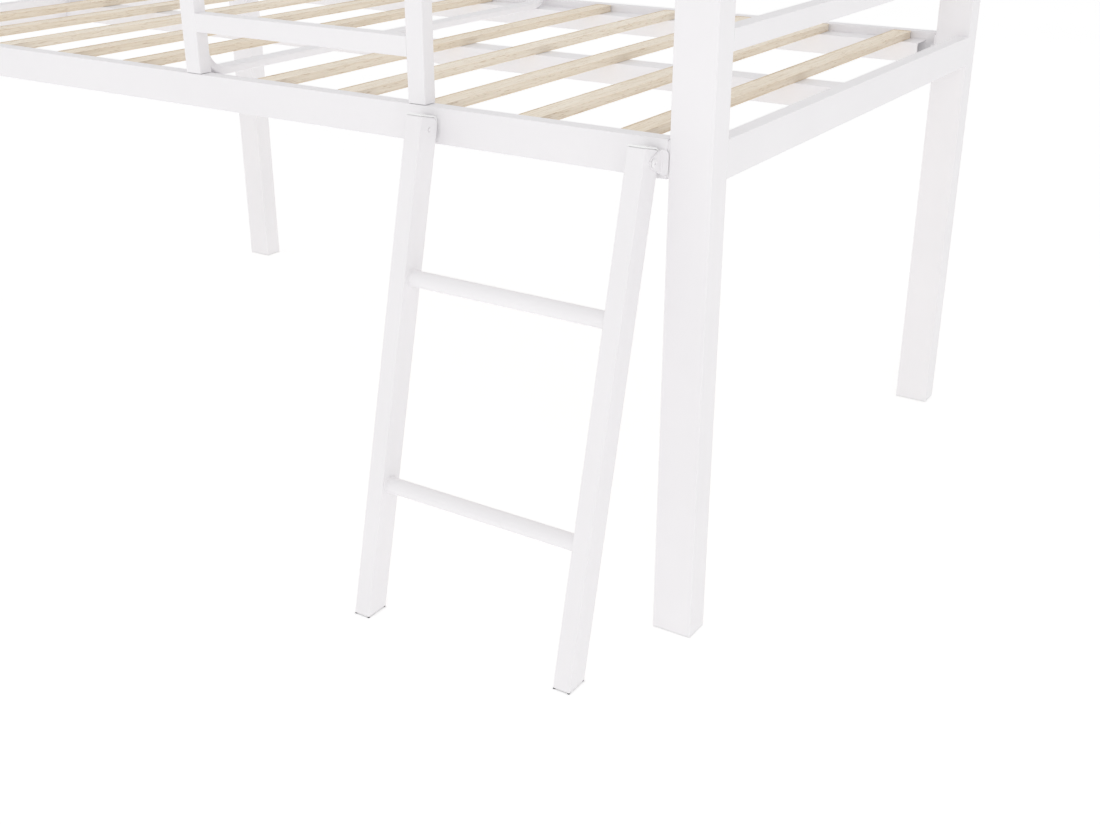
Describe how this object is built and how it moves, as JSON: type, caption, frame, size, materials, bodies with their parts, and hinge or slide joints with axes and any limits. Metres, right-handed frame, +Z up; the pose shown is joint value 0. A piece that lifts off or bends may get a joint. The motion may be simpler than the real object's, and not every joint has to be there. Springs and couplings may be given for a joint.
{
  "type": "loft bed",
  "caption": "Low metal loft bed: square-tube frame with a slatted deck, a centre rail and cross-beam, guard rails round the deck and a leaning two-rung ladder at the front.",
  "frame": {"origin": "centre of the whole bed's box, ladder included, on the floor", "axes": "+X along the bed towards the ladder's end, +Y from the ladder side to the back, +Z up"},
  "size_m": [1.98, 1.3572, 1.143],
  "materials": {
    "white_paint": "smooth semi-gloss white powder coat",
    "white_plastic": "satin moulded plastic",
    "dark_plastic": "matt moulded plastic",
    "poplar": "sanded bare poplar with fine grain",
    "zinc_steel": "bright zinc plate"
  },
  "bodies": {
    "frame": {"post_front_right": "white_paint", "post_front_left": "white_paint", "post_back_right": "white_paint", "post_back_left": "white_paint", "post_cap_front_right": "white_plastic", "post_cap_front_left": "white_plastic", "post_cap_back_right": "white_plastic", "post_cap_back_left": "white_plastic", "post_foot_front_right": "white_plastic", "post_foot_front_left": "white_plastic", "post_foot_back_right": "white_plastic", "post_foot_back_left": "white_plastic", "front_side_rail": "white_paint", "back_side_rail": "white_paint", "right_end_rail": "white_paint", "left_end_rail": "white_paint", "rail_bolt_front_right": "white_paint", "rail_bolt_front_left": "white_paint", "rail_bolt_back_right": "white_paint", "rail_bolt_back_left": "white_paint", "front_slat_ledge": "white_paint", "back_slat_ledge": "white_paint", "centre_support_rail": "white_paint", "middle_cross_beam": "white_paint", "slat_1": "poplar", "slat_2": "poplar", "slat_3": "poplar", "slat_4": "poplar", "slat_5": "poplar", "slat_6": "poplar", "slat_7": "poplar", "slat_8": "poplar", "slat_9": "poplar", "slat_10": "poplar", "guard_post_middle": "white_paint", "guard_post_by_ladder": "white_paint", "guard_post_cap": "white_plastic", "front_lower_guard_bar": "white_paint", "front_left_guard_bar": "white_paint", "front_upper_guard_rail": "white_paint", "back_lower_guard_bar": "white_paint", "back_upper_guard_rail": "white_paint", "right_lower_guard_bar": "white_paint", "right_upper_guard_rail": "white_paint", "left_lower_guard_bar": "white_paint", "left_upper_guard_rail": "white_paint", "ladder_bracket_right": "white_paint", "ladder_bracket_left": "white_paint"},
    "ladder": {"ladder_stile_right": "white_paint", "ladder_stile_left": "white_paint", "ladder_cap_right": "white_plastic", "ladder_cap_left": "white_plastic", "ladder_pad_right": "dark_plastic", "ladder_pad_left": "dark_plastic", "ladder_rung_upper": "white_paint", "ladder_rung_lower": "white_paint", "pivot_bolt_right": "white_paint", "pivot_bolt_left": "white_paint", "pivot_nut_right": "zinc_steel", "pivot_nut_left": "zinc_steel"}
  },
  "joints": [
    {"name": "ladder_swing", "type": "hinge", "parent": "frame", "child": "ladder", "pos_m": [0.7102, -0.47852, 0.7383], "axis": [-1, 0, 0], "range_deg": [0, 78]}
  ]
}
